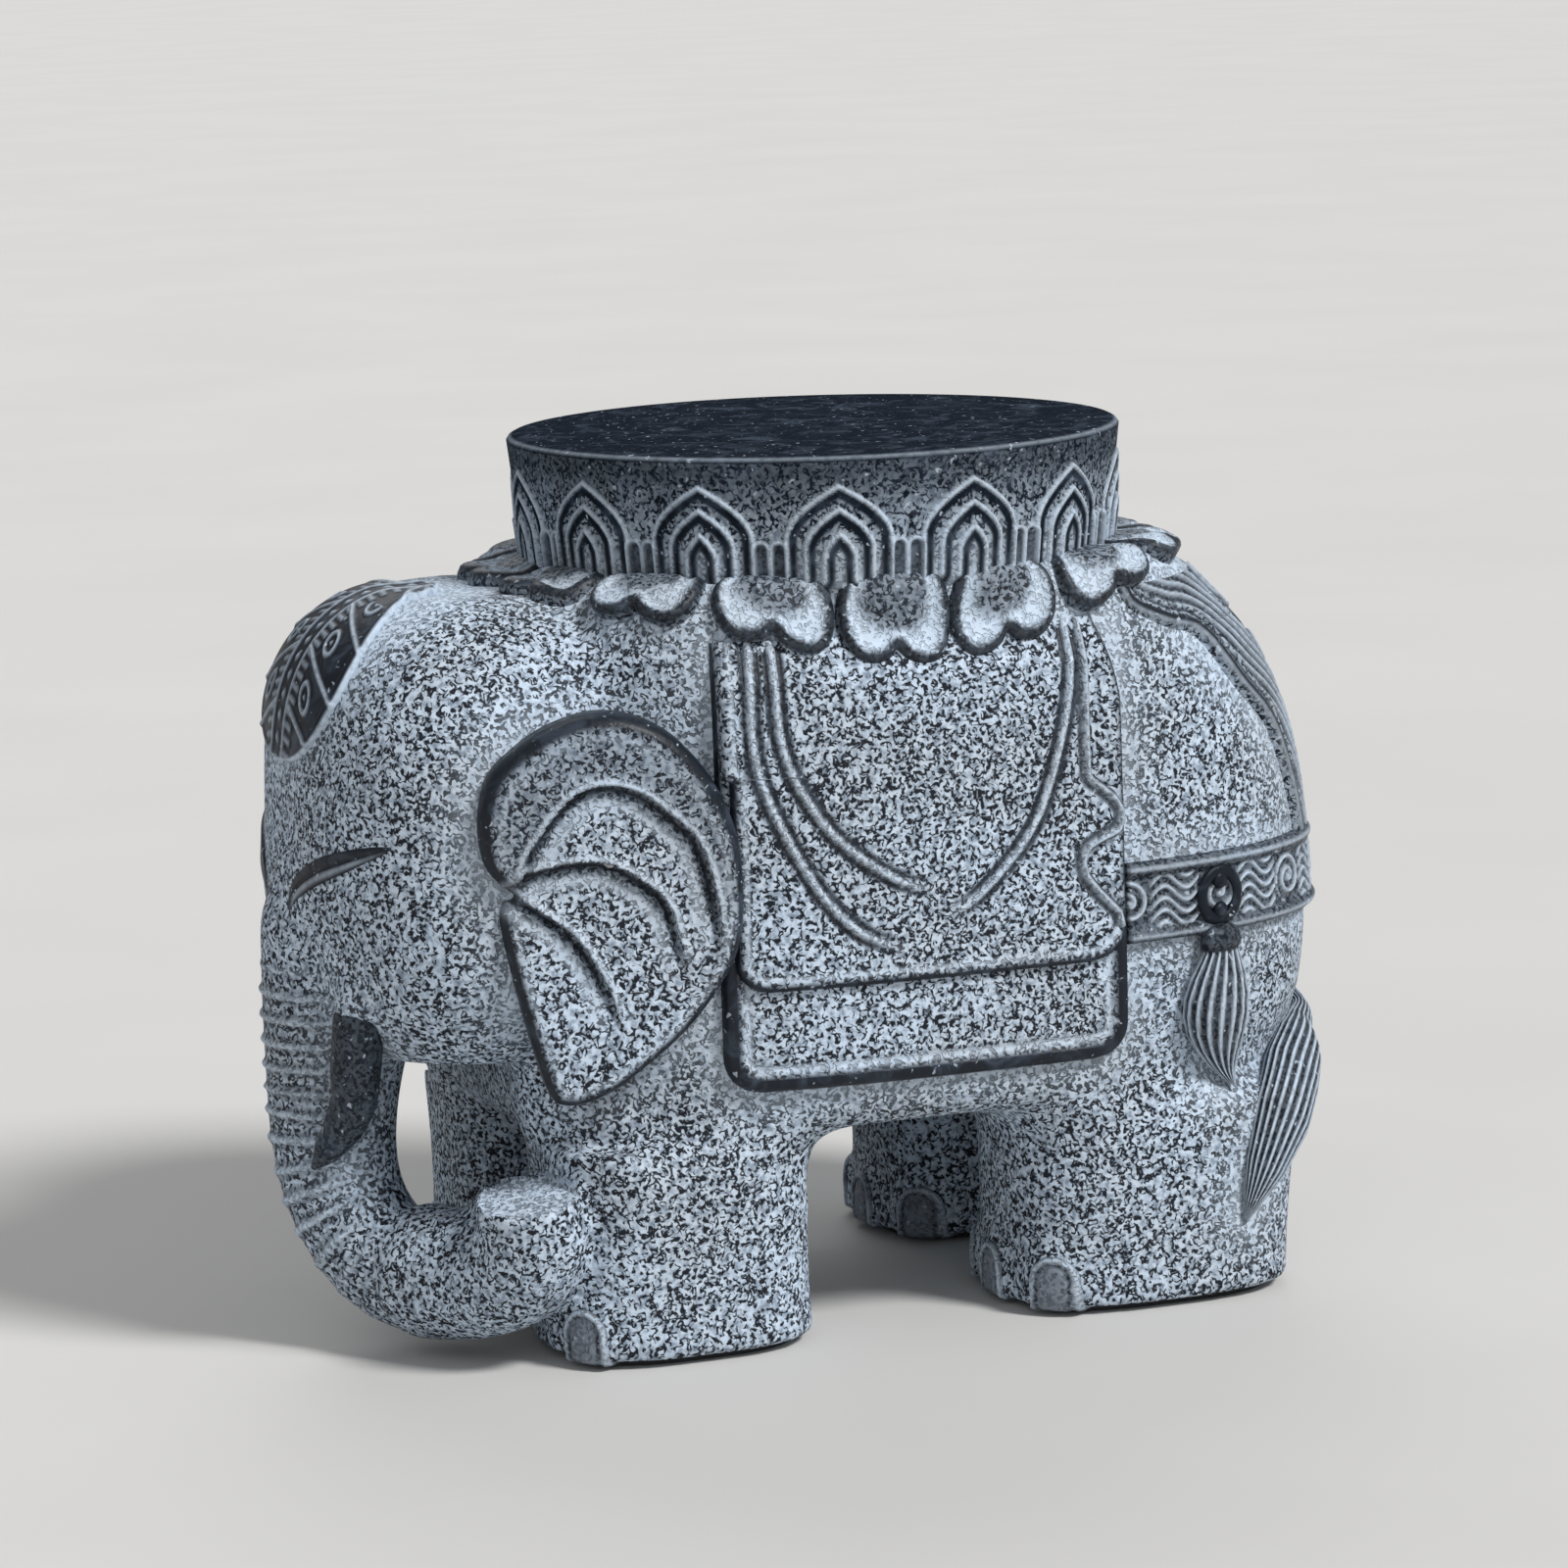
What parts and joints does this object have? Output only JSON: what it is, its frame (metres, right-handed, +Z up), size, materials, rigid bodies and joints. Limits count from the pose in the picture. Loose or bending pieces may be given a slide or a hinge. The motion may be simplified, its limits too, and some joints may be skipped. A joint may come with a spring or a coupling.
{
  "type": "elephant stool",
  "caption": "Standing elephant stool of carved stone look, with saddle cloth, harness, headdress and lotus collar, carrying a flat round drum seat on its back.",
  "frame": {"origin": "on the floor, under the middle of the stool's length and width", "axes": "+Z up, the head looks along -X, the animal's left side is towards -Y"},
  "size_m": [0.4765, 0.27, 0.38],
  "materials": {
    "stone": "matte",
    "dark_stone": "satin",
    "rubber": "matte",
    "steel": "satin"
  },
  "bodies": {
    "root": {"torso_shell": "stone", "head": "stone", "trunk": "stone", "ear_left": "stone", "ear_right": "stone", "front_leg_left": "stone", "front_leg_right": "stone", "hind_leg_left": "stone", "hind_leg_right": "stone", "petal_collar": "stone", "saddle_skirt_left": "stone", "saddle_skirt_right": "stone", "saddle_cloth_left": "stone", "saddle_cloth_right": "stone", "rump_cloth": "stone", "seat_drum": "dark_stone", "tusk_left": "dark_stone", "tusk_right": "dark_stone", "headdress": "dark_stone", "crupper_band": "dark_stone", "tassel_left": "dark_stone", "tassel_right": "dark_stone", "tail": "dark_stone", "foot_pads": "rubber", "leg_dowels": "steel", "head_dowels": "steel", "seat_dowels": "steel", "ear_dowels": "steel", "trunk_dowel": "steel", "tail_dowel": "steel"}
  },
  "joints": []
}
